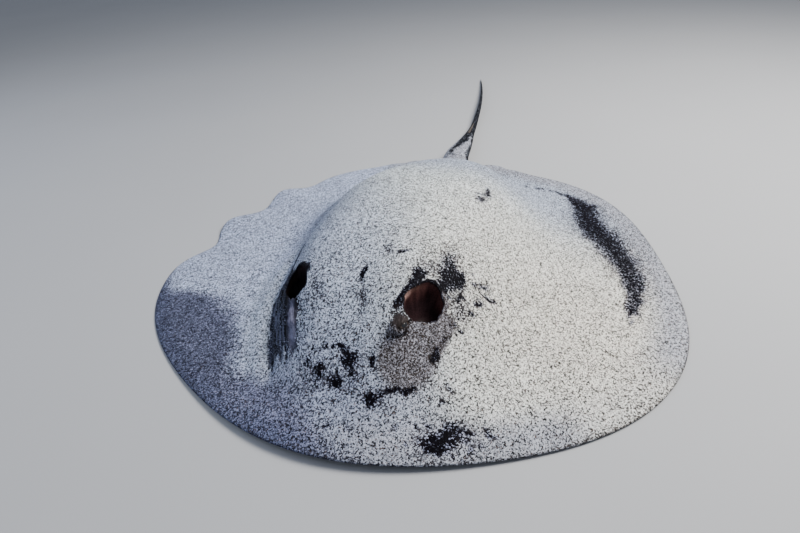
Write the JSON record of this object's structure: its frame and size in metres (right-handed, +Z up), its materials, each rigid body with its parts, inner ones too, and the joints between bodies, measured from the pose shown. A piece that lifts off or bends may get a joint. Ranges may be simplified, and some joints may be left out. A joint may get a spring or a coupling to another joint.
{
  "type": "stingray",
  "caption": "Life-size still model of a grown round stingray resting flat on its belly, with a domed body, wide spiracles, broad fins and a long tapering tail with a sting.",
  "frame": {"origin": "on the floor, under the middle of the bounding box", "axes": "+Z up, the snout towards -Y, the tail towards +Y, the animal's left side towards +X"},
  "size_m": [0.9414, 1.6756, 0.1606],
  "materials": {
    "dusted_back": "dark skin dusted with pale sand, matt",
    "dusted_fin": "dark skin thinly dusted with pale sand, matt",
    "dark_skin": "bare blackish skin, damp and slightly glossy",
    "eye": "wet eye, glossy",
    "sting": "dull horn-like spine"
  },
  "bodies": {
    "root": {"head": "dusted_back", "trunk": "dusted_back", "pectoral_fin_left": "dusted_fin", "pectoral_fin_right": "dusted_fin", "pelvic_fin_left": "dusted_fin", "pelvic_fin_right": "dusted_fin", "tail_base": "dark_skin", "tail_middle": "dark_skin", "tail_tip": "dark_skin", "tail_fold": "dark_skin", "sting": "sting", "eye_left": "eye", "eye_right": "eye"}
  },
  "joints": []
}
